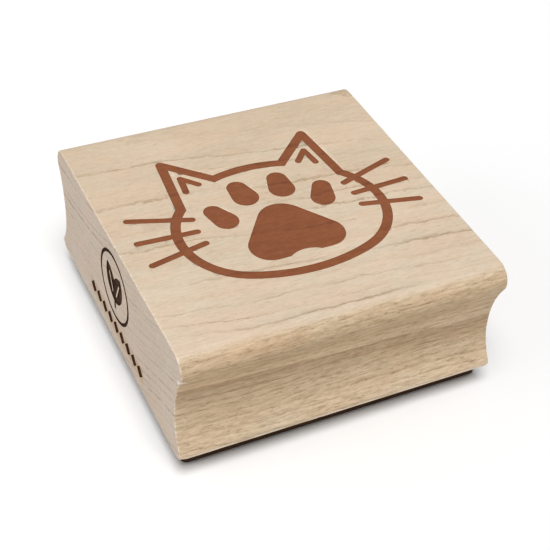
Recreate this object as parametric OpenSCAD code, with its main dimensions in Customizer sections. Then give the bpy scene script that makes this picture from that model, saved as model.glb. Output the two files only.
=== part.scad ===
// Wood-mounted rubber stamp: a milled hardwood block, a foam cushion and an engraved rubber die.
// The block is held by the grooves that run along its front and back.
// X runs along the grain, Y to the back and Z up. The origin is the centre of the printing face.

/* [Block] */
// Length of the block along the grain
block_w = 63.5; // [62.5:0.5:90]
// Depth of the block over its two rounded noses
block_d = 66.4; // [62:0.2:90]
// Height of the wood
block_h = 25; // [24:0.5:32]
// Radius of the rounded nose along the top edges
nose_r = 3.2; // [3:0.1:3.6]
// Depth of the finger groove behind the nose
groove_in = 3.2; // [2.4:0.1:3.4]
// Radius of the groove's upper part
groove_r = 20; // [14:1:20]
// How far the foot stands behind the nose
foot_in = 0.5; // [0:0.1:1]
// Radius of the rounded bottom edge
foot_r = 1.6; // [1:0.1:2.2]

/* [Pad] */
// Length of the die and its cushion, along the grain
pad_w = 61.4; // [58:0.2:61.4]
// How far the pad lies off centre along the grain; its picture stays in the middle
pad_x = 0.5; // [-1:0.1:1]
// Depth of the die and its cushion
pad_d = 60; // [50:0.5:60]
// How far the adhesive films stay inside the pad's edge
film_in = 0.2; // [0:0.1:0.5]
// Radius of the pad's corners
pad_corner = 1.2; // [0.5:0.1:3]
// Thickness of the foam cushion
foam_t = 1.6; // [1.2:0.1:3.2]
// Thickness of each adhesive film
film_t = 0.1; // [0.1:0.05:0.2]
// Thickness of the rubber sheet behind the relief
sheet_t = 1.5; // [1:0.1:2]
// Height of the printing relief
relief_h = 0.8; // [0.6:0.1:1.2]

/* [Artwork] */
// Width of the strokes of the head
head_line = 1.9; // [1.4:0.1:2.2]
// Width of the finer strokes, the whiskers and inner ears
fine_line = 1.3; // [1:0.1:1.6]
// How much wider the relief's base is than its printing face, on each side
shoulder = 0.25; // [0.1:0.05:0.3]
// Depth of the engraving in the top of the block
index_depth = 0.25; // [0.2:0.05:0.5]
// Depth of the engraving in the end of the block
mark_depth = 0.3; // [0.2:0.05:0.5]
// Thickness of the burnt skin on the floor of an engraving
skin_t = 0.1; // [0.1:0.05:0.15]

/* [Hidden] */
$fn = 96;

wood = [0.86, 0.76, 0.62];
toasted = [0.60, 0.33, 0.20];
charred = [0.20, 0.12, 0.08];
film = [0.85, 0.82, 0.72];
foam = [0.20, 0.19, 0.18];
rubber = [0.27, 0.20, 0.16];

past = 1; // how far a cutting shape runs past the surface that it opens
die_top = relief_h + sheet_t;
foam_z = die_top + film_t;
block_z = foam_z + foam_t + film_t;
top_z = block_z + block_h;

// The block's section, as half widths in Y and heights above its base
nose_c = block_d / 2 - nose_r;
groove_y = block_d / 2 - groove_in;
foot_y = block_d / 2 - foot_in;
foot_c = foot_y - foot_r;
nose_z = block_h - nose_r;
nose_bite = 0.05; // how deep the groove's upper arc cuts into the nose
arc_gap = nose_r + groove_r - nose_bite; // from the nose's centre to that of the groove's upper arc
arc_gap_y = nose_r + groove_r - groove_in;
groove_z = nose_z - sqrt(arc_gap * arc_gap - arc_gap_y * arc_gap_y);
web_y = nose_c + nose_r * arc_gap_y / arc_gap; // the wood between the nose's underside and the groove
flare_z = groove_z - 0.5; // where the lower part starts to spread
flare_sag = foot_y - groove_y;
flare_h = flare_z - foot_r - 0.3;
flare_r = (flare_h * flare_h + flare_sag * flare_sag) / (2 * flare_sag);

// The cat's head: two cheek arcs run smoothly into one chin arc
ear_tip = [15.2, 19.3];
brow_end = [7.2, 11.6];
brow_r = 26;
brow_c = [0, brow_end.y - sqrt(brow_r * brow_r - brow_end.x * brow_end.x)];
cheek = [7, -4.5];
cheek_r = 13.4;
ear_base = point(cheek, cheek_r, 44); // where the ear's outer edge meets the cheek
chin_y = -19.2;
chin_gap = -chin_y - cheek_r;
chin_c = [0, (cheek * cheek - chin_gap * chin_gap) / (2 * (chin_gap + cheek.y))];
chin_r = chin_c.y - chin_y;
cheek_end = angle(cheek - chin_c);
ear_side = right_of(ear_tip - ear_base); // the outward directions of the ear's two edges
ear_front = right_of(brow_end - ear_tip);
inner_ear = [[10.6, 11], [13.2, 13.9], [13.7, 9.6]];
whiskers = [[[15.8, 1.4], [27.2, 5.2]], [[16.2, -2.2], [27.6, -1.6]], [[16, -5.8], [27.2, -8.2]]];

// The paw: each pad and toe is a ring of circles, [x, y, radius], with the space between them filled
palm = [[0, -4.6, 4.8], [-5.5, -10.8, 4], [5.5, -10.8, 4]];
inner_toe = [[3.8, 4.1, 2.6], [4.2, 7.3, 2]];
outer_toe = [[10, -1.2, 2.4], [11.3, 2.1, 1.85]];
palm_scoop = [0, -19.2, 5.4];

// The mark on the end: a ring with a sprout of two leaves in it over a row of diamonds
mark_z = 14.7;
ring_r = 7.6;
ring_line = 0.7;
leaf_r = 5;
leaf_half = 4.2; // half a leaf's length
leaf_lean = 24;
leaf_rib = 0.5;
stem = [0.8, 2.6]; // width and length
sprout_z = -3.6; // where the leaves meet, from the ring's centre
band_z = 4.6;
band_count = 9;
band_step = 3.2;
diamond = 3; // corner to corner

function point(c, r, a) = [c.x + r * cos(a), c.y + r * sin(a)];

function angle(v) = atan2(v.y, v.x);

function right_of(v) = [v.y, -v.x] / norm(v);

// The points of an arc from angle a to angle b in so many steps; first = 1 leaves out its first point
function arc(c, r, a, b, steps, first = 0) =
    [for (i = [first : steps]) point(c, r, a + (b - a) * i / steps)];

// The right half of the head's outline, from the chin up to the middle of the brow, moved out by d
function half_head(d) =
    let (
        base = angle(ear_side) + acos((ear_side * (ear_tip - cheek) + d) / (cheek_r + d)),
        brow = angle(ear_front) - acos((ear_front * (ear_tip - brow_c) + d) / (brow_r + d))
    ) concat(
        arc(chin_c, chin_r + d, -90, cheek_end, 8),
        arc(cheek, cheek_r + d, cheek_end, base, 24, 1),
        d < 0 ? [ear_tip + d * (ear_side + ear_front) / (1 + ear_side * ear_front)]
            : arc(ear_tip, d, angle(ear_side), angle(ear_front), 8),
        arc(brow_c, brow_r + d, brow, 90, 5)
    );

// The whole outline: the right half and, in reverse, its mirror image
function head(d) =
    let (right = half_head(d))
    concat(right, [for (i = [len(right) - 2 : -1 : 1]) [-right[i].x, right[i].y]]);

// The direction in which the line that touches circles a and b, on the right of the way from a to b, faces
function facing(a, b) =
    let (run = [b.x - a.x, b.y - a.y])
    angle(run) - acos((a.z - b.z) / norm(run));

// The outline of a ring of circles, taken anticlockwise, and all that lies between them
function around(ring, grow) = [
    for (i = [0 : len(ring) - 1])
        let (
            c = ring[i],
            start = facing(ring[(i + len(ring) - 1) % len(ring)], c),
            turn = (facing(c, ring[(i + 1) % len(ring)]) - start + 720) % 360
        ) each arc([c.x, c.y], c.z + grow, start, start + turn, 12)
];

// A straight stroke with round ends
module stroke(a, b, line) {
    side = angle(b - a) - 90;
    polygon(concat(
        arc(b, line / 2, side, side + 180, 12),
        arc(a, line / 2, side + 180, side + 360, 12)
    ));
}

module both_sides() {
    children();
    mirror([1, 0]) children();
}

module head_art(grow = 0) {
    difference() {
        polygon(head(head_line / 2 + grow));
        polygon(head(-head_line / 2 - grow));
    }
}

module ear_art(grow = 0) {
    both_sides()
        for (i = [0, 1]) stroke(inner_ear[i], inner_ear[i + 1], fine_line + 2 * grow);
}

module whisker_art(grow = 0) {
    both_sides()
        for (w = whiskers) stroke(w[0], w[1], fine_line + 2 * grow);
}

module paw_art(grow = 0) {
    difference() {
        polygon(around(palm, grow));
        translate([palm_scoop.x, palm_scoop.y]) circle(palm_scoop.z - grow);
    }
    both_sides() {
        polygon(around(inner_toe, grow));
        polygon(around(outer_toe, grow));
    }
}

// The whiskers stop where the head's own line crosses them, so that each mark is engraved once
module clear_whiskers() {
    difference() {
        whisker_art();
        head_art();
    }
}

module ring_art() {
    difference() {
        circle(ring_r);
        circle(ring_r - ring_line);
    }
}

// A leaf that stands on its tip, with its rib left bare
module leaf() {
    bow = sqrt(leaf_r * leaf_r - leaf_half * leaf_half);
    translate([0, leaf_half]) difference() {
        intersection() {
            translate([-bow, 0]) circle(leaf_r);
            translate([bow, 0]) circle(leaf_r);
        }
        square([leaf_rib, leaf_half], center = true);
    }
}

module leaf_art() {
    both_sides() translate([0, sprout_z]) rotate(-leaf_lean) leaf();
    translate([-stem.x / 2, sprout_z + 1 - stem.y]) square(stem);
}

module band_art() {
    for (i = [0 : band_count - 1])
        translate([(i - (band_count - 1) / 2) * band_step, 0])
            rotate(45) square(diamond / sqrt(2), center = true);
}

module block_section() {
    difference() {
        union() {
            translate([-groove_y, foot_r]) square([2 * groove_y, nose_z - foot_r]);
            translate([-foot_y, foot_r]) square([2 * foot_y, flare_z - foot_r]);
            translate([-foot_c, 0]) square([2 * foot_c, 2 * foot_r]);
            translate([-web_y, groove_z]) square([2 * web_y, nose_z - groove_z]);
            translate([-nose_c, nose_z - nose_r]) square([2 * nose_c, 2 * nose_r]);
            both_sides() {
                translate([foot_c, foot_r]) circle(foot_r);
                translate([nose_c, nose_z]) circle(nose_r);
            }
        }
        both_sides() {
            translate([groove_y + groove_r, groove_z]) circle(groove_r);
            intersection() {
                translate([groove_y + flare_r, flare_z]) circle(flare_r);
                translate([groove_y - past, 0]) square([flare_r, flare_z]);
            }
        }
    }
}

// Turns a drawing in Y and Z into a solid from X = x that is as thick as depth
module along_x(x, depth) {
    translate([x, 0, 0]) rotate([90, 0, 90]) linear_extrude(depth) children();
}

module along_z(z, height) {
    translate([0, 0, z]) linear_extrude(height) children();
}

module on_end(z) {
    translate([0, block_z + z]) children();
}

module pad_outline(inset = 0) {
    half = [pad_w / 2 - inset, pad_d / 2 - inset];
    core = half - [pad_corner, pad_corner];
    translate([pad_x, 0]) {
        square([2 * half.x, 2 * core.y], center = true);
        square([2 * core.x, 2 * half.y], center = true);
        for (x = [-core.x, core.x], y = [-core.y, core.y]) translate([x, y]) circle(pad_corner);
    }
}

module wood_block() {
    color(wood) difference() {
        along_x(-block_w / 2, block_w) translate([0, block_z]) block_section();
        along_z(top_z - index_depth, index_depth + past) {
            head_art();
            ear_art();
            whisker_art();
            paw_art();
        }
        along_x(-block_w / 2 - past, mark_depth + past) {
            on_end(mark_z) ring_art();
            on_end(mark_z) leaf_art();
            on_end(band_z) band_art();
        }
    }
}

module index_skin() {
    color(toasted) along_z(top_z - index_depth, skin_t) children();
}

module index_head() {
    index_skin() head_art();
}

module index_ears() {
    index_skin() ear_art();
}

module index_whiskers() {
    index_skin() clear_whiskers();
}

module index_paw() {
    index_skin() paw_art();
}

module mark_skin() {
    color(charred) along_x(-block_w / 2 + mark_depth - skin_t, skin_t) children();
}

module end_mark_ring() {
    mark_skin() on_end(mark_z) ring_art();
}

module end_mark_leaf() {
    mark_skin() on_end(mark_z) leaf_art();
}

module end_mark_band() {
    mark_skin() on_end(band_z) band_art();
}

module mount_adhesive() {
    color(film) along_z(block_z - film_t, film_t) pad_outline(film_in);
}

module foam_cushion() {
    color(foam) along_z(foam_z, foam_t) pad_outline();
}

module die_adhesive() {
    color(film) along_z(die_top, film_t) pad_outline(film_in);
}

// One piece of rubber: the sheet, the relief's wider shoulder and the printing face
module rubber_die() {
    color(rubber) {
        along_z(relief_h, sheet_t) pad_outline();
        for (level = [[relief_h / 2, shoulder], [0, 0]])
            along_z(level[0], relief_h - level[0]) {
                head_art(level[1]);
                ear_art(level[1]);
                whisker_art(level[1]);
                paw_art(level[1]);
            }
    }
}

wood_block();
index_head();
index_ears();
index_whiskers();
index_paw();
end_mark_ring();
end_mark_leaf();
end_mark_band();
mount_adhesive();
foam_cushion();
die_adhesive();
rubber_die();
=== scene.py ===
"""The looks of a wood-mounted rubber stamp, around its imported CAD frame.

The block is rebuilt as a finely sectioned mesh with softened edges, and its pictures are cut into it
with the CAD's own burnt skins. All wood shares one procedural maple, so the grain runs on through
every burnt mark.
"""

import math
import random

import bmesh
import bpy
import numpy as np
from mathutils import Matrix, Vector, noise


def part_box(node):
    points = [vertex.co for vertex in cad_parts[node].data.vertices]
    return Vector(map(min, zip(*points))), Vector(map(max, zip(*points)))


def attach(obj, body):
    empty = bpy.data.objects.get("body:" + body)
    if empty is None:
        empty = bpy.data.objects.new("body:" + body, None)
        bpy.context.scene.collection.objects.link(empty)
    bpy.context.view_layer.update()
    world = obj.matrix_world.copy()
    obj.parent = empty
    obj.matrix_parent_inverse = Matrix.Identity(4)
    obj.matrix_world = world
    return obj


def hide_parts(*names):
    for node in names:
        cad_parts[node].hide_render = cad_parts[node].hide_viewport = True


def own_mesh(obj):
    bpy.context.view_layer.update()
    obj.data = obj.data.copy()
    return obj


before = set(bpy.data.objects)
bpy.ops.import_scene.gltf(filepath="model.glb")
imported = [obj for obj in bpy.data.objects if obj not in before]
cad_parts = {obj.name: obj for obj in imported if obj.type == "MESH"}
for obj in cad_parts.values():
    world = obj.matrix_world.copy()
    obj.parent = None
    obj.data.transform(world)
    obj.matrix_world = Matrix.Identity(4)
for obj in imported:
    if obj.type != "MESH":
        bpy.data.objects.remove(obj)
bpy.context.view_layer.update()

MM = 0.001

# The places of two axes in a vector
X = 0
Z = 2

# The camera: where it stands around the block in degrees, how far away, and what it aims at
VIEW_AZIMUTH = -27.3
VIEW_ELEVATION = 40.8
VIEW_ROLL = 3.7
VIEW_DISTANCE = 249.2 * MM
AIM_HEIGHT = 16.6 * MM
AIM_RIGHT = 1.27 * MM
AIM_UP = -3.65 * MM
LENS = 83.8
SENSOR = 36

# The studio, in metres, watts and degrees: a pale sky, a broad lamp overhead and one at the left end
SKY_STRENGTH = 0.34
OVERHEAD_PLACE = (-0.12, -0.28, 0.95)
OVERHEAD_POWER = 2.36
OVERHEAD_ANGLE = 32
SIDE_PLACE = (-0.7, 0.05, 0.35)
SIDE_POWER = 1.2
SIDE_COLOUR = (0.95, 0.97, 1.0)
SIDE_SIZE = 0.5
LAMP_AIM = (0, 0, 0.015)

# Half the floor's width in metres, and its colour
FLOOR_HALF = 2.5
FLOOR_COLOUR = (0.91, 0.91, 0.91, 1)

# The block's section, as in the CAD
NOSE_R = 3.2 * MM
GROOVE_IN = 3.2 * MM
GROOVE_R = 20 * MM
NOSE_BITE = 0.05 * MM
FOOT_IN = 0.5 * MM
FOOT_R = 1.6 * MM
FOOT_RISE = 0.3 * MM
WEB_DROP = 0.5 * MM

INDEX_NODES = ("index_head", "index_ears", "index_whiskers", "index_paw")
MARK_NODES = ("end_mark_ring", "end_mark_leaf", "end_mark_band")

block_low, block_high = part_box("wood_block")
block_size = block_high - block_low


# ---------------------------------------------------------------- objects and meshes

def add_object(name, data):
    made = bpy.data.objects.new(name, data)
    bpy.context.scene.collection.objects.link(made)
    return made


def apply_modifiers(made):
    """Replaces an object's mesh by what its modifiers make of it."""
    bpy.context.view_layer.update()
    graph = bpy.context.evaluated_depsgraph_get()
    mesh = bpy.data.meshes.new_from_object(made.evaluated_get(graph))
    made.modifiers.clear()
    made.data = mesh


def smooth(made, sharp_angle):
    """Shades an object smoothly, except over edges that turn by more than an angle in degrees."""
    mesh = made.data
    mesh.polygons.foreach_set("use_smooth", [True] * len(mesh.polygons))
    mesh.set_sharp_from_angle(angle=math.radians(sharp_angle))


def skin(name, rings):
    """A closed mesh: walls between rings of points, and a cap on the first and the last."""
    bm = bmesh.new()
    loops = [[bm.verts.new(point) for point in ring] for ring in rings]
    for here, there in zip(loops, loops[1:]):
        for i in range(len(here)):
            j = (i + 1) % len(here)
            bm.faces.new((here[i], here[j], there[j], there[i]))
    bm.faces.new(loops[0])
    bm.faces.new(loops[-1])
    bmesh.ops.recalc_face_normals(bm, faces=bm.faces)
    mesh = bpy.data.meshes.new(name)
    bm.to_mesh(mesh)
    bm.free()
    return mesh


# ---------------------------------------------------------------- camera, light and floor

def make_camera():
    """A camera at the viewing angle, rolled a little about its own line of sight."""
    azimuth, elevation, roll = (math.radians(a) for a in (VIEW_AZIMUTH, VIEW_ELEVATION, VIEW_ROLL))
    back = Vector((
        math.sin(azimuth) * math.cos(elevation),
        -math.cos(azimuth) * math.cos(elevation),
        math.sin(elevation),
    ))
    right = (-back).cross(Vector((0, 0, 1))).normalized()
    up = right.cross(-back)
    aim = Vector((0, 0, AIM_HEIGHT)) + right * AIM_RIGHT + up * AIM_UP
    side = right * math.cos(roll) + up * math.sin(roll)
    data = bpy.data.cameras.new("camera")
    data.sensor_width = SENSOR
    data.lens = LENS
    data.clip_start = 10 * MM
    camera = add_object("camera", data)
    turn = Matrix((side, back.cross(side), back)).transposed()
    camera.matrix_world = Matrix.Translation(aim + back * VIEW_DISTANCE) @ turn.to_4x4()
    bpy.context.scene.camera = camera


def make_light(name, kind, place, power, colour=(1, 1, 1)):
    """A lamp that shines from its place towards the middle of the block."""
    data = bpy.data.lights.new(name, kind)
    data.energy = power
    data.color = colour
    light = add_object(name, data)
    light.location = place
    aim = Vector(LAMP_AIM) - Vector(place)
    light.rotation_euler = aim.to_track_quat("-Z", "Y").to_euler()
    return data


def make_studio():
    scene = bpy.context.scene
    scene.view_settings.view_transform = "Standard"
    world = bpy.data.worlds.new("studio")
    scene.world = world
    world.use_nodes = True
    background = world.node_tree.nodes["Background"]
    background.inputs["Color"].default_value = (1, 1, 1, 1)
    background.inputs["Strength"].default_value = SKY_STRENGTH
    overhead = make_light("overhead", "SUN", OVERHEAD_PLACE, OVERHEAD_POWER)
    overhead.angle = math.radians(OVERHEAD_ANGLE)
    side = make_light("side", "AREA", SIDE_PLACE, SIDE_POWER, SIDE_COLOUR)
    side.size = SIDE_SIZE


def make_floor():
    corners = [(x * FLOOR_HALF, y * FLOOR_HALF, 0) for x, y in ((-1, -1), (1, -1), (1, 1), (-1, 1))]
    mesh = bpy.data.meshes.new("floor")
    mesh.from_pydata(corners, [], [(0, 1, 2, 3)])
    floor = add_object("floor", mesh)
    tree = Tree("floor_white")
    tree.set("Base Color", FLOOR_COLOUR)
    tree.set("Roughness", 0.9)
    tree.set("Specular IOR Level", 0.1)
    mesh.materials.append(tree.material)


# ---------------------------------------------------------------- node trees

class Tree:
    """A material's node tree. Most calls add one node, join or set its inputs and give its output."""

    def __init__(self, name):
        self.material = bpy.data.materials.new(name)
        self.material.use_nodes = True
        self.nodes = self.material.node_tree.nodes
        self.links = self.material.node_tree.links
        self.shader = self.nodes["Principled BSDF"]

    def join(self, socket, value):
        """Links a node's output to an input, or sets the input to a plain value."""
        if isinstance(value, bpy.types.NodeSocket):
            self.links.new(value, socket)
        else:
            socket.default_value = value

    def set(self, name, value):
        """Joins an input of the shader itself."""
        self.join(self.shader.inputs[name], value)

    def math(self, operation, a, b=0.0, c=0.0):
        node = self.nodes.new("ShaderNodeMath")
        node.operation = operation
        for socket, value in zip(node.inputs, (a, b, c)):
            self.join(socket, value)
        return node.outputs[0]

    def add(self, *values):
        total = values[0]
        for value in values[1:]:
            total = self.math("ADD", total, value)
        return total

    def minus(self, a, b):
        return self.math("SUBTRACT", a, b)

    def times(self, *values):
        product = values[0]
        for value in values[1:]:
            product = self.math("MULTIPLY", product, value)
        return product

    def absolute(self, value):
        return self.math("ABSOLUTE", value)

    def swing(self, value, reach):
        """Turns a value from 0 to 1 into one from half the reach below 0 to half above it."""
        return self.math("MULTIPLY_ADD", value, reach, -reach / 2)

    def between(self, share, low, high):
        """Low where the share is 0, and high where it is 1."""
        return self.math("MULTIPLY_ADD", share, high - low, low)

    def step(self, value, low, high, ends=(0.0, 1.0)):
        """A smooth rise from 0 at low to 1 at high."""
        node = self.nodes.new("ShaderNodeMapRange")
        node.interpolation_type = "SMOOTHSTEP"
        for socket, given in zip(node.inputs, (value, low, high, *ends)):
            self.join(socket, given)
        return node.outputs[0]

    def fade(self, value, low, high):
        """A smooth fall from 1 at low to 0 at high."""
        return self.step(value, low, high, (1.0, 0.0))

    def band(self, value, low, full, still_full, high):
        """A share that is 1 from full to still_full, and falls to 0 at low and at high."""
        return self.times(self.step(value, low, full), self.fade(value, still_full, high))

    def combine(self, x, y, z):
        node = self.nodes.new("ShaderNodeCombineXYZ")
        for socket, value in zip(node.inputs, (x, y, z)):
            self.join(socket, value)
        return node.outputs[0]

    def split(self, vector):
        node = self.nodes.new("ShaderNodeSeparateXYZ")
        self.join(node.inputs[0], vector)
        return node.outputs

    def vector(self, operation, a, b=(0, 0, 0)):
        node = self.nodes.new("ShaderNodeVectorMath")
        node.operation = operation
        self.join(node.inputs[0], a)
        self.join(node.inputs[1], b)
        return node.outputs["Value" if operation in ("DISTANCE", "LENGTH") else "Vector"]

    def noise(self, place, stretch, detail=2.0, roughness=0.5, shift=(0, 0, 0)):
        """Noise at a place, with a number of waves per unit along each axis."""
        node = self.nodes.new("ShaderNodeTexNoise")
        scaled = self.vector("MULTIPLY", self.vector("ADD", place, shift), stretch)
        self.join(node.inputs["Vector"], scaled)
        node.inputs["Scale"].default_value = 1
        node.inputs["Detail"].default_value = detail
        node.inputs["Roughness"].default_value = roughness
        return node.outputs["Fac"]

    def ramp(self, value, stops):
        """A colour that runs through stops of (value, colour)."""
        node = self.nodes.new("ShaderNodeValToRGB")
        self.join(node.inputs[0], value)
        elements = node.color_ramp.elements
        while len(elements) < len(stops):
            elements.new(0.5)
        for element, (position, colour) in zip(elements, stops):
            element.position = position
            element.color = (*colour, 1)
        return node.outputs["Color"]

    def mix(self, share, a, b, blend="MIX"):
        node = self.nodes.new("ShaderNodeMix")
        node.data_type = "RGBA"
        node.blend_type = blend
        for name, value in (("Factor_Float", share), ("A_Color", a), ("B_Color", b)):
            socket = next(s for s in node.inputs if s.identifier == name)
            self.join(socket, (*value, 1) if isinstance(value, tuple) else value)
        return next(s for s in node.outputs if s.identifier == "Result_Color")

    def tinted(self, colour, share, tint):
        """The colour multiplied by a tint, by a share that varies from place to place."""
        return self.mix(share, colour, self.mix(1.0, colour, tint, "MULTIPLY"))

    def bump(self, height, distance, strength):
        node = self.nodes.new("ShaderNodeBump")
        node.inputs["Distance"].default_value = distance
        node.inputs["Strength"].default_value = strength
        self.join(node.inputs["Height"], height)
        self.set("Normal", node.outputs["Normal"])

    def coordinates(self):
        """The place on the object in millimetres, and the direction that its surface faces."""
        node = self.nodes.new("ShaderNodeTexCoord")
        place = self.vector("MULTIPLY", node.outputs["Object"], (1 / MM, 1 / MM, 1 / MM))
        return place, node.outputs["Normal"]


# ---------------------------------------------------------------- wood

# The growth rings: where their centre lies, how far apart they are, how they drift along the grain.
# All places on the wood are in millimetres.
PITH_Y = 60.0
PITH_Z = 215.0
RING_STEP = 1.5
RING_DRIFT = -0.045

# Places on the block: its left end, its underside, and the height of its noses' undersides
LEFT_END = block_low.x / MM
UNDERSIDE = block_low.z / MM
NOSE_UNDERSIDE = block_high.z / MM - 8

# The depths between which painted shade darkens the wood towards the back
BACK_SHADE_FROM = -26.0
BACK_SHADE_TO = 30.0

# The seam under the nose, a dark line with painted shade below it and a painted highlight above: its
# height at the middle, its fall along the grain
SEAM_Z = 18.5
SEAM_SLOPE = 0.075

# The fresh chip under the nose at the left end, and half the width of the ring's line on that end
CHIP = (LEFT_END, block_low.y / MM + 0.9, block_high.z / MM - 5.4)
RING_LINE_HALF = 0.35

# What the colour of bare wood is multiplied by, on each kind of place; the back, groove and nose tints
# are painted shade, and the side tint is browner milled wood with painted shade in it
PATCH_TINT = (1.03, 0.985, 0.96)
BACK_SHADE_TINT = (0.945, 0.93, 0.90)
SIDE_COLOUR_AND_SHADE_TINT = (0.91, 0.875, 0.81)
GROOVE_SHADE_TINT = (0.98, 0.94, 0.88)
NOSE_SHADE_TINT = (0.88, 0.855, 0.80)
# The seam's dark line with painted shade under it, and the painted highlight over it
UNDER_SEAM_LINE_AND_SHADE_TINT = (0.78, 0.73, 0.67)
OVER_SEAM_HIGHLIGHT_TINT = (1.07, 1.065, 1.04)
END_TINT = (0.825, 0.83, 0.88)

# The colours of wood that is rubbed, broken, dented or tanned; the pale rubbed foot is also a painted
# highlight
RUBBED_FOOT_AND_HIGHLIGHT = (0.90, 0.80, 0.66)
RUBBED_ARRIS = (0.86, 0.77, 0.66)
FRESH_WOOD = (0.88, 0.81, 0.71)
DENT_DIRT = (0.20, 0.13, 0.08)
TANNED_WOOD = (0.42, 0.235, 0.085)


class Maple(Tree):
    """Maple with its grain along X: rings about a far pith above the back, fibres, pores and flecks."""

    def __init__(self, name):
        super().__init__(name)
        self.place, facing = self.coordinates()
        self.x, self.y, self.z = self.split(self.place)
        facing_x, facing_y, _ = self.split(facing)
        across = self.absolute(facing_x)
        self.end = self.step(across, 0.55, 0.95)
        self.arris = self.band(across, 0.12, 0.35, 0.75, 0.97)
        self.not_end = self.minus(1.0, self.end)
        milled = self.step(self.absolute(facing_y), 0.2, 0.75)
        self.side = self.times(milled, self.not_end)
        self.busy = self.math("MAXIMUM", milled, self.times(self.end, 0.5))
        self.add_rings()
        self.add_tone()

    def grain(self, along, across, detail=2.0, roughness=0.5, shift=(0, 0, 0)):
        """Noise with so many waves per millimetre along the grain, and so many across it."""
        return self.noise(self.place, (along, across, across), detail, roughness, shift)

    def ring_radius(self):
        """How far each place lies from the pith, with the wander and ripple of grown wood."""
        from_pith = self.combine(0, self.minus(self.y, PITH_Y), self.minus(self.z, PITH_Z))
        wander = self.swing(self.grain(0.020, 0.035), 4.0)
        ripple = self.swing(self.grain(0.35, 0.7, 4.0, 0.65, (31, 7, 3)), 0.8)
        return self.add(self.vector("LENGTH", from_pith), self.times(self.x, RING_DRIFT), wander, ripple)

    def add_rings(self):
        """The dark line that ends each ring, the shade that leads up to it, and the rays across."""
        radius = self.ring_radius()
        uneven = self.swing(self.noise(self.combine(radius, 0, 0), (0.22, 1, 1)), 3.0)
        phase = self.add(self.math("DIVIDE", radius, RING_STEP), uneven)
        within = self.math("FRACT", phase)
        ring = self.math("FLOOR", phase)
        self.shade = self.times(within, within, self.fade(within, 0.94, 1.0))

        line = self.band(within, self.between(self.end, 0.80, 0.55), 0.95, 0.955, 1.0)
        strength = self.noise(self.combine(self.x, ring, self.y), (0.035, 7.31, 0.02))
        broken = self.step(self.grain(0.3, 0.3, 3.0, 0.6, (2, 6, 8)), 0.36, 0.56)
        unbroken = self.math("MAXIMUM", broken, self.not_end)
        self.line = self.times(line, self.step(strength, 0.42, 0.72), unbroken)

        around = self.times(self.math("ARCTAN2", self.minus(self.y, PITH_Y), radius), PITH_Z)
        self.rays = self.noise(self.combine(radius, around, 0), (0.4, 2.2, 1), 3.0, 0.65)

    def add_tone(self):
        """How light the wood is from place to place, and how high its surface stands."""
        self.fibre = self.grain(0.10, 3.0, 4.0, 0.6)
        grit = self.grain(0.5, 2.4, 4.0, 0.7, (7, 2, 9))
        streak = self.grain(0.26, 2.1, 4.0, 0.7, (9, 4, 2))
        cloud = self.grain(0.045, 0.09, 2.0, 0.5, (3, 9, 1))
        pore = self.step(self.grain(0.9, 5.0, 1.0, 0.5, (5, 5, 5)), 0.62, 0.74)
        fleck = self.step(self.grain(0.8, 4.0, 1.0, 0.5, (1, 8, 4)), 0.62, 0.76)
        on_line = self.add(-0.26, self.times(self.end, -0.08), self.times(self.side, 0.04))
        self.tone = self.add(
            0.62,
            self.swing(self.fibre, 0.22),
            self.times(self.swing(grit, 1.0), self.between(self.busy, 0.38, 0.84)),
            self.times(self.swing(streak, 0.95), self.side),
            self.times(self.swing(self.rays, 0.20), self.end),
            self.swing(cloud, 0.20),
            self.times(self.line, on_line),
            self.times(self.shade, self.between(self.busy, -0.05, -0.11)),
            self.times(pore, self.between(self.busy, -0.12, -0.28)),
            self.times(fleck, self.between(self.busy, 0.08, 0.16)),
        )
        self.height = self.add(
            self.times(self.fibre, 0.4),
            self.times(grit, self.between(self.busy, 0.3, 0.8)),
            self.times(pore, self.between(self.busy, -0.3, -0.8)),
            self.times(self.line, -0.3),
        )

    def finish(self, colour, roughness, shine):
        self.set("Base Color", colour)
        self.set("Roughness", self.add(roughness, self.swing(self.fibre, 0.16)))
        self.set("Specular IOR Level", shine)
        self.bump(self.height, distance=0.05 * MM, strength=0.7)
        return self.material

    def bare(self):
        """The colour of bare wood: cream on top, greyer on its ends, browner where it is milled, with
        painted shade on the milled sides and towards the back.
        """
        colour = self.ramp(self.tone, (
            (0.0, (0.24, 0.155, 0.085)),
            (0.3, (0.44, 0.335, 0.225)),
            (0.6, (0.645, 0.527, 0.395)),
            (1.0, (0.84, 0.725, 0.585)),
        ))
        patches = self.step(self.grain(0.07, 0.22, 2.0, 0.5, (14, 3, 8)), 0.35, 0.65)
        # Painted shade: the wood darkens towards the back
        back = self.times(self.step(self.y, BACK_SHADE_FROM, BACK_SHADE_TO), self.not_end)
        colour = self.tinted(colour, patches, PATCH_TINT)
        colour = self.tinted(colour, back, BACK_SHADE_TINT)
        colour = self.browned_and_shaded(colour)
        colour = self.seam_with_painted_light(colour)
        colour = self.tinted(colour, self.end, END_TINT)
        colour = self.worn(colour)
        return self.mix(self.times(self.halo(), 0.45), colour, TANNED_WOOD)

    def browned_and_shaded(self, colour):
        """The milled sides are browner than the top and carry painted shade, deeper in the groove and
        deepest on the nose.
        """
        # Painted shade: the side darkens from the foot up into the groove, and most on the nose
        groove = self.step(self.minus(self.z, UNDERSIDE), 1.0, 9.0)
        nose = self.band(self.minus(self.z, NOSE_UNDERSIDE), -3.0, 1.0, 4.0, 7.7)
        colour = self.tinted(colour, self.side, SIDE_COLOUR_AND_SHADE_TINT)
        colour = self.tinted(colour, self.times(self.side, groove), GROOVE_SHADE_TINT)
        return self.tinted(colour, self.times(self.side, nose), NOSE_SHADE_TINT)

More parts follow.
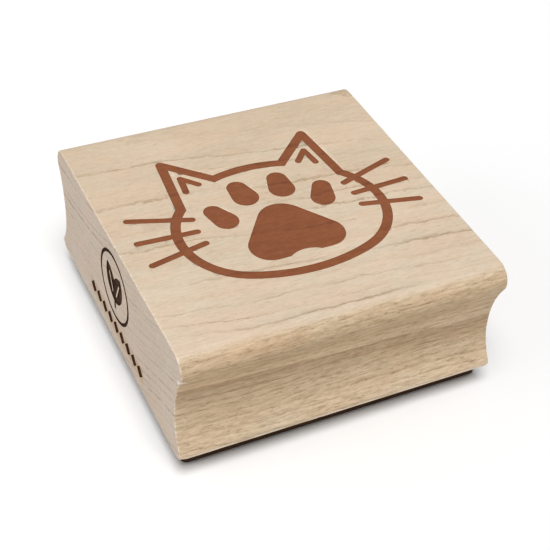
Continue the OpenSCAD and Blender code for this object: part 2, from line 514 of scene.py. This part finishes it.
    def seam_with_painted_light(self, colour):
        """A seam along each milled side: a dark line with painted shade spreading below it, and a
        painted highlight just above.
        """
        waver = self.swing(self.grain(0.06, 0.06, 3.0, 0.6, (5, 3, 7)), 1.8)
        over_seam = self.add(self.z, self.times(self.x, SEAM_SLOPE), -SEAM_Z, waver)
        # Painted shade below the seam's line, and a painted highlight above it
        dark = self.times(self.side, self.band(over_seam, -7.0, -0.4, -0.4, 0.1))
        light = self.times(self.side, self.band(over_seam, -0.1, 0.4, 0.4, 2.4))
        colour = self.tinted(colour, dark, UNDER_SEAM_LINE_AND_SHADE_TINT)
        return self.tinted(colour, light, OVER_SEAM_HIGHLIGHT_TINT)

    def worn(self, colour):
        """Pale where the foot and the arrises are rubbed and where a chip is out, dark in dents; the
        pale foot is partly a painted highlight.
        """
        wear = self.grain(1.4, 1.4, 3.0, 0.6, (6, 6, 1))
        low_edge = self.fade(self.minus(self.z, UNDERSIDE), 1.2, 1.6)
        patchy = self.step(self.grain(0.22, 1.2, 3.0, 0.6, (4, 1, 6)), 0.35, 0.55)
        off_chip = self.add(self.vector("DISTANCE", self.place, CHIP), self.swing(wear, 1.5))
        # Painted highlight with rubbed wear: a pale band along the foot of each milled side
        foot = self.times(self.side, low_edge, patchy, 0.6)
        rubbed = self.times(self.arris, self.step(wear, 0.40, 0.62), 0.5)
        chip = self.times(self.fade(off_chip, 0.6, 1.0), 0.9)
        dents = self.times(self.arris, self.fade(wear, 0.28, 0.34), 0.5)
        colour = self.mix(foot, colour, RUBBED_FOOT_AND_HIGHLIGHT)
        colour = self.mix(rubbed, colour, RUBBED_ARRIS)
        colour = self.mix(chip, colour, FRESH_WOOD)
        return self.mix(dents, colour, DENT_DIRT)

    def halo(self):
        """Where the laser has tanned the wood around the mark on the end."""
        ring_low, ring_high = (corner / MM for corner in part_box("end_mark_ring"))
        band_low, band_high = (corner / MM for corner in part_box("end_mark_band"))
        ring_middle = (ring_low.z + ring_high.z) / 2
        ring_r = (ring_high.y - ring_low.y) / 2 - RING_LINE_HALF
        band_middle = (band_low.z + band_high.z) / 2
        band_half = (band_high.z - band_low.z) / 2
        from_ring = self.combine(0, self.y, self.minus(self.z, ring_middle))
        off_ring = self.absolute(self.minus(self.vector("LENGTH", from_ring), ring_r))
        beside_band = self.minus(self.absolute(self.y), band_high.y)
        over_band = self.minus(self.absolute(self.minus(self.z, band_middle)), band_half)
        off_band = self.math("MAXIMUM", beside_band, over_band)
        uneven = self.swing(self.grain(1.2, 1.2), 0.8)
        off_mark = self.add(self.math("MINIMUM", off_ring, off_band), uneven)
        on_end = self.fade(self.minus(self.x, LEFT_END), 0.75, 1.25)
        return self.times(self.fade(off_mark, -0.2, 0.7), on_end)


def maple_material():
    tree = Maple("maple_bare")
    return tree.finish(tree.bare(), roughness=0.62, shine=0.3)


def toasted_material():
    tree = Maple("maple_toasted")
    scorch = tree.noise(tree.place, (0.5, 0.9, 0.9), 4.0, 0.65, (8, 1, 4))
    colour = tree.ramp(tree.add(tree.tone, tree.swing(scorch, 0.45)), (
        (0.2, (0.135, 0.044, 0.017)),
        (0.6, (0.242, 0.079, 0.032)),
        (1.0, (0.340, 0.120, 0.050)),
    ))
    return tree.finish(colour, roughness=0.7, shine=0.2)


def charred_material():
    tree = Maple("maple_charred")
    soot = tree.noise(tree.place, (0.9, 0.9, 0.9), 4.0, 0.6, (2, 2, 2))
    colour = tree.ramp(tree.add(soot, tree.swing(tree.tone, 0.3)), (
        (0.25, (0.014, 0.005, 0.002)),
        (0.55, (0.040, 0.015, 0.005)),
        (0.85, (0.150, 0.062, 0.022)),
    ))
    return tree.finish(colour, roughness=0.85, shine=0.08)


# ---------------------------------------------------------------- the block's mesh

# The eased arrises of both ends, their two chips, and the small nicks in them
EDGE_R = 0.28 * MM
EDGE_STEPS = 4
CHIP_R = 1.6 * MM
CHIP_DEPTH = 0.7 * MM
FOOT_CHIP_DEPTH = 0.45 * MM
NICKS = 14
NICK_R = (0.6, 1.1)
NICK_DEPTH = (0.06, 0.16)

# How finely the block is cut across near its ends and between them
END_ZONE = 4 * MM
END_STATIONS = 16
MIDDLE_STATIONS = 24

# How uneven the arrises are and how rough their chips, as a share and in waves per metre
WEAR_SHARE = 0.45
WEAR_WAVES = 420
BREAK_SHARE = 0.5
BREAK_WAVES = 2500

# How finely each stretch of the section is drawn, and how strongly its corners are eased
FLAT_POINTS = 9
NOSE_STEPS = 14
GROOVE_STEPS = 20
FLARE_STEPS = 14
FOOT_STEPS = 7
CORNER_EASE = 6


def arc(centre, radius, start, end, steps):
    angles = np.radians(np.linspace(start, end, steps + 1))
    return [(centre[0] + radius * math.cos(a), centre[1] + radius * math.sin(a)) for a in angles]


def half_section():
    """The back half of the section as (y, z), from the middle of the top to the middle of the base."""
    half_depth, height = block_size.y / 2, block_size.z
    nose = (half_depth - NOSE_R, height - NOSE_R)
    reach = NOSE_R + GROOVE_R - NOSE_BITE
    reach_y = NOSE_R + GROOVE_R - GROOVE_IN
    groove_y = half_depth - GROOVE_IN
    groove = (groove_y + GROOVE_R, nose[1] - math.sqrt(reach ** 2 - reach_y ** 2))
    to_groove = math.degrees(math.atan2(groove[1] - nose[1], groove[0] - nose[0]))
    along = (reach ** 2 + NOSE_R ** 2 - GROOVE_R ** 2) / (2 * reach)
    nose_end = to_groove + math.degrees(math.acos(along / NOSE_R))
    groove_start = to_groove + 180 - math.degrees(math.acos((reach - along) / GROOVE_R))

    foot_y = half_depth - FOOT_IN
    flare_z = groove[1] - WEB_DROP
    sag = foot_y - groove_y
    flare_h = flare_z - FOOT_R - FOOT_RISE
    flare_r = (flare_h ** 2 + sag ** 2) / (2 * sag)
    flare_end = 180 + math.degrees(math.asin(flare_h / flare_r))

    top = [(y, height) for y in np.linspace(0, nose[0], FLAT_POINTS)]
    points = top[:-1]
    points += arc(nose, NOSE_R, 90, nose_end, NOSE_STEPS)
    points += arc(groove, GROOVE_R, groove_start, 180, GROOVE_STEPS)
    points += arc((groove_y + flare_r, flare_z), flare_r, 180, flare_end, FLARE_STEPS)
    points += arc((foot_y - FOOT_R, FOOT_R), FOOT_R, 0, -90, FOOT_STEPS)
    base = [(y, 0.0) for y in np.linspace(foot_y - FOOT_R, 0, FLAT_POINTS)]
    return points + base[1:]


def section():
    """The whole section as a closed loop, with its sharp corners eased as sanding leaves them."""
    half = half_section()
    loop = np.array(half + [(-y, z) for y, z in reversed(half[1:-1])])
    loop[:, 1] += block_low.z
    before, after = np.roll(loop, 1, 0), np.roll(loop, -1, 0)
    to_before, to_after = before - loop, after - loop
    lengths = np.linalg.norm(to_before, axis=1) * np.linalg.norm(to_after, axis=1)
    bend = 1 + (to_before * to_after).sum(1) / lengths
    ease = np.clip(bend * CORNER_EASE, 0, 0.5)[:, None]
    return loop * (1 - ease) + (before + after) / 2 * ease


def outward(loop):
    """The outward direction at each point of a loop of (y, z)."""
    along = np.roll(loop, -1, 0) - np.roll(loop, 1, 0)
    direction = np.stack([-along[:, 1], along[:, 0]], 1)
    direction /= np.linalg.norm(direction, axis=1)[:, None]
    inward = np.sum(direction * (loop - loop.mean(0))) < 0
    return -direction if inward else direction


def make_nicks(loop):
    """Small bites out of the arrises of both ends as (place, radius, depth), the two chips first."""
    end = block_size.x / 2
    foot_chip = Vector((-end, block_low.y + 1.2 * MM, block_low.z + 0.4 * MM))
    nicks = [
        (Vector(CHIP) * MM, CHIP_R, CHIP_DEPTH),
        (foot_chip, CHIP_R, FOOT_CHIP_DEPTH),
    ]
    for _ in range(NICKS):
        y, z = random.choice(loop)
        x = random.choice((-end, end))
        nicks.append((Vector((x, y, z)), random.uniform(*NICK_R) * MM, random.uniform(*NICK_DEPTH) * MM))
    return nicks


def make_stations():
    """Where the block is cut across, as (x, how far its section shrinks there)."""
    end = block_size.x / 2
    rounded = []
    for i in range(EDGE_STEPS + 1):
        turn = math.pi / 2 * i / EDGE_STEPS
        rounded.append((-end + EDGE_R * (1 - math.cos(turn)), EDGE_R * (1 - math.sin(turn))))
    zone = np.linspace(-end + EDGE_R, -end + END_ZONE, END_STATIONS)
    middle = np.linspace(-end + END_ZONE, end - END_ZONE, MIDDLE_STATIONS)
    left = rounded + [(x, 0.0) for x in zone[1:]]
    return left + [(x, 0.0) for x in middle[1:-1]] + [(-x, inset) for x, inset in reversed(left)]


def worn_ring(x, inset, loop, away, nicks):
    """The section at x as points, drawn in by its eased edge and by each nick that reaches it."""
    ring = []
    for (y, z), (away_y, away_z) in zip(loop, away):
        place = Vector((x, y, z))
        wear = inset * (1 + WEAR_SHARE * noise.noise(place * WEAR_WAVES))
        for centre, radius, depth in nicks:
            reach = 1 - (place - centre).length / radius
            if reach > 0:
                wear += depth * reach ** 1.5 * (1 + BREAK_SHARE * noise.noise(place * BREAK_WAVES))
        ring.append((x, y - away_y * wear, z - away_z * wear))
    return ring


def make_block_mesh():
    loop = section()
    away = outward(loop)
    nicks = make_nicks(loop)
    return skin("block", [worn_ring(x, inset, loop, away, nicks) for x, inset in make_stations()])


# ---------------------------------------------------------------- the burnt pictures

# How much wider than its skin each recess is cut, and how far past the surface
CUT_GROW = 0.02 * MM
CUT_PAST = 1.0 * MM
WELD = 0.0005 * MM


def sideways(vert, axis):
    """The mean direction of the faces around a vertex, leaving out those that face along an axis."""
    total = Vector((0, 0, 0))
    for face in vert.link_faces:
        if abs(face.normal[axis]) < 0.5:
            total += face.normal * face.calc_area()
    total[axis] = 0
    return total.normalized()


def cutter(node, axis, towards):
    """A copy of a burnt skin, a hair wider and out past the surface, to cut its recess with."""
    low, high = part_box(node)
    middle = (low[axis] + high[axis]) / 2
    bm = bmesh.new()
    bm.from_mesh(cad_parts[node].data)
    bmesh.ops.remove_doubles(bm, verts=bm.verts, dist=WELD)
    bmesh.ops.recalc_face_normals(bm, faces=bm.faces)
    bm.normal_update()
    moves = [sideways(vert, axis) * CUT_GROW for vert in bm.verts]
    for vert, move in zip(bm.verts, moves):
        if (vert.co[axis] - middle) * towards > 0:
            move[axis] = towards * CUT_PAST
        vert.co += move
    mesh = bpy.data.meshes.new("cut_" + node)
    bm.to_mesh(mesh)
    bm.free()
    return mesh


def add_cut(block, node, axis, towards, material):
    """Cuts a skin's recess into the block, with the skin's material inside, and gives the tool."""
    mesh = cutter(node, axis, towards)
    mesh.materials.append(material)
    tool = add_object("tool_" + node, mesh)
    cut = block.modifiers.new(node, "BOOLEAN")
    cut.operation = "DIFFERENCE"
    cut.solver = "EXACT"
    cut.material_mode = "TRANSFER"
    cut.object = tool
    return tool


def make_block(maple, toasted, charred):
    block = add_object("block", make_block_mesh())
    block.data.materials.append(maple)
    tools = [add_cut(block, node, Z, 1, toasted) for node in INDEX_NODES]
    tools += [add_cut(block, node, X, -1, charred) for node in MARK_NODES]
    apply_modifiers(block)
    for tool in tools:
        bpy.data.objects.remove(tool)
    smooth(block, sharp_angle=32)
    weighted = block.modifiers.new("weighted", "WEIGHTED_NORMAL")
    weighted.keep_sharp = True
    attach(block, "block")
    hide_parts("wood_block")


def dress(nodes, material):
    """Gives CAD nodes their material."""
    for node in nodes:
        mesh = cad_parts[node].data
        mesh.materials.clear()
        mesh.materials.append(material)


# ---------------------------------------------------------------- the pad's materials

# Heights on the die in millimetres: where its printing face ends, and where its cut field starts
PRINTS_TO = 0.1
CUT_FROM = 0.5


def rubber_material():
    """Brown rubber: smooth where it prints, lined and dusty with ash where the laser has cut it."""
    tree = Tree("die_rubber")
    place, facing = tree.coordinates()
    _, _, z = tree.split(place)
    _, _, facing_z = tree.split(facing)
    grit = tree.noise(place, (6, 6, 6), 4.0, 0.6)
    cloud = tree.noise(place, (0.3, 0.3, 0.9))
    scan = tree.noise(place, (0.25, 7.0, 1.0), 2.0, 0.6, (3, 3, 3))
    below = tree.fade(facing_z, -0.9, -0.5)
    field = tree.times(below, tree.step(z, PRINTS_TO, CUT_FROM))
    prints = tree.times(below, tree.fade(z, PRINTS_TO, CUT_FROM))
    colour = tree.ramp(tree.add(tree.times(grit, 0.5), tree.times(cloud, 0.5)), (
        (0.3, (0.022, 0.008, 0.002)),
        (0.7, (0.060, 0.027, 0.008)),
    ))
    ash = tree.ramp(tree.add(tree.times(scan, 0.7), tree.times(cloud, 0.3)), (
        (0.35, (0.060, 0.034, 0.018)),
        (0.65, (0.170, 0.115, 0.070)),
    ))
    tree.set("Base Color", tree.mix(tree.times(field, 0.8), colour, ash))
    tree.set("Roughness", tree.add(0.75, tree.swing(grit, 0.3), tree.times(prints, -0.25)))
    tree.set("Specular IOR Level", 0.12)
    tree.bump(tree.add(grit, tree.times(field, scan, 1.5)), distance=0.04 * MM, strength=0.8)
    return tree.material


def foam_material():
    tree = Tree("cushion_foam")
    place, _ = tree.coordinates()
    cells = tree.nodes.new("ShaderNodeTexVoronoi")
    tree.join(cells.inputs["Vector"], place)
    cells.inputs["Scale"].default_value = 4
    hollow = cells.outputs["Distance"]
    colour = tree.ramp(hollow, (
        (0.0, (0.016, 0.015, 0.014)),
        (0.5, (0.045, 0.042, 0.038)),
        (1.0, (0.09, 0.085, 0.08)),
    ))
    tree.set("Base Color", colour)
    tree.set("Roughness", 0.9)
    tree.bump(hollow, distance=0.12 * MM, strength=1.0)
    return tree.material


def film_material():
    tree = Tree("adhesive_film")
    place, _ = tree.coordinates()
    haze = tree.noise(place, (0.7, 0.7, 5.0), 3.0)
    tree.set("Base Color", tree.ramp(haze, ((0.3, (0.40, 0.33, 0.20)), (0.7, (0.62, 0.54, 0.38)))))
    tree.set("Roughness", tree.add(0.35, tree.times(haze, 0.2)))
    tree.bump(haze, distance=0.02 * MM, strength=0.5)
    return tree.material


# ---------------------------------------------------------------- the cushion

# The radius of its corners, how far its sides bow out, and how far inside its CAD solid they start
FOAM_CORNER = 1.2 * MM
FOAM_BOW = 0.12 * MM
FOAM_INSET = 0.10 * MM
FOAM_ROUGH = 0.03 * MM
FOAM_ROUGH_WAVES = 2500

# How finely it is divided: around each corner, along its sides and through its thickness
CORNER_STEPS = 8
SIDE_STEP = 1.2 * MM
FOAM_LEVELS = 9


def rounded_corners(low, high):
    """The slab's four rounded corners as (point, outward direction), all the way round."""
    half_x = (high.x - low.x) / 2 - FOAM_CORNER
    half_y = (high.y - low.y) / 2 - FOAM_CORNER
    middle = Vector(((low.x + high.x) / 2, (low.y + high.y) / 2, 0))
    outline = []
    for side_x, side_y, start in ((1, 1, 0), (-1, 1, 90), (-1, -1, 180), (1, -1, 270)):
        centre = middle + Vector((side_x * half_x, side_y * half_y, 0))
        for step in range(CORNER_STEPS + 1):
            angle = math.radians(start + 90 * step / CORNER_STEPS)
            away = Vector((math.cos(angle), math.sin(angle), 0))
            outline.append((centre + FOAM_CORNER * away, away))
    return outline


def divided(outline):
    """The same outline with points added along its straight sides."""
    dense = []
    for (point, away), (next_point, next_away) in zip(outline, outline[1:] + outline[:1]):
        pieces = max(1, round((next_point - point).length / SIDE_STEP))
        for i in range(pieces):
            share = i / pieces
            dense.append((point.lerp(next_point, share), away.lerp(next_away, share).normalized()))
    return dense


def make_foam_mesh(low, high):
    """A soft slab whose sides bow out a little between the films that hold it."""
    outline = divided(rounded_corners(low, high))
    rings = []
    for level in range(FOAM_LEVELS):
        share = level / (FOAM_LEVELS - 1)
        height = low.z + (high.z - low.z) * share
        swell = FOAM_BOW * (1 - (2 * share - 1) ** 2) - FOAM_INSET
        ring = []
        for point, away in outline:
            rough = noise.noise(Vector((point.x, point.y, height)) * FOAM_ROUGH_WAVES)
            place = point + away * (swell + FOAM_ROUGH * rough)
            ring.append((place.x, place.y, height))
        rings.append(ring)
    return skin("cushion", rings)


def make_foam(material):
    low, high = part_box("foam_cushion")
    mesh = make_foam_mesh(low, high)
    mesh.materials.append(material)
    foam = add_object("cushion", mesh)
    smooth(foam, sharp_angle=50)
    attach(foam, "die")
    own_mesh(foam)
    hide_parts("foam_cushion")


# ---------------------------------------------------------------- the whole stamp

random.seed(7)
make_camera()
make_studio()
make_floor()

maple, toasted, charred = maple_material(), toasted_material(), charred_material()
make_block(maple, toasted, charred)
dress(INDEX_NODES, toasted)
dress(MARK_NODES, charred)
dress(("rubber_die",), rubber_material())
dress(("mount_adhesive", "die_adhesive"), film_material())
make_foam(foam_material())
